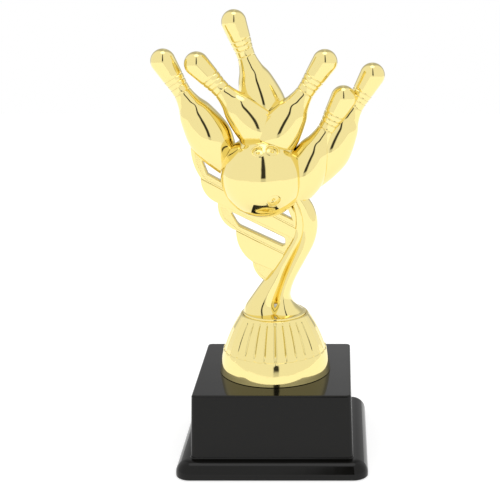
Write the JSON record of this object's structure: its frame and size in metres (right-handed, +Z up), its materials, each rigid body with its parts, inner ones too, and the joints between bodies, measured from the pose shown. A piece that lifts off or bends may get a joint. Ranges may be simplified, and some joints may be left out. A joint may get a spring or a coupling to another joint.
{
  "type": "bowling trophy",
  "caption": "Gold bowling pins flying up from a ball on a twisted stem with a feathered wing, on a fluted riser and a square black plinth.",
  "frame": {"origin": "centre of the underside of the plinth's pad, on the axis of the centre bolt", "axes": "+Z up, -Y to the front (the ball's finger holes), +X to the right seen from the front"},
  "size_m": [0.0973, 0.0812, 0.1911],
  "materials": {
    "plinth": "glossy black moulded plastic",
    "gold": "vacuum-metallised bright gold on moulded plastic",
    "steel": "zinc-plated steel",
    "ballast": "rough cast cement",
    "pad": "black felt"
  },
  "bodies": {
    "plinth": {"plinth_shell": "plinth", "ballast_block": "ballast", "base_pad": "pad", "flat_washer": "steel"},
    "figure": {"riser_bell": "gold", "centre_bolt": "steel", "lock_washer": "steel", "captive_nut": "steel", "stem": "gold", "wing": "gold", "ball_front": "gold", "ball_rear": "gold", "pin_1": "gold", "pin_2": "gold", "pin_3": "gold", "pin_4": "gold", "pin_5": "gold", "pin_6": "gold"}
  },
  "joints": [
    {"name": "figure_turn", "type": "hinge", "parent": "plinth", "child": "figure", "pos_m": [0, 0, 0.0352], "axis": [0, 0, 1], "continuous": true}
  ]
}
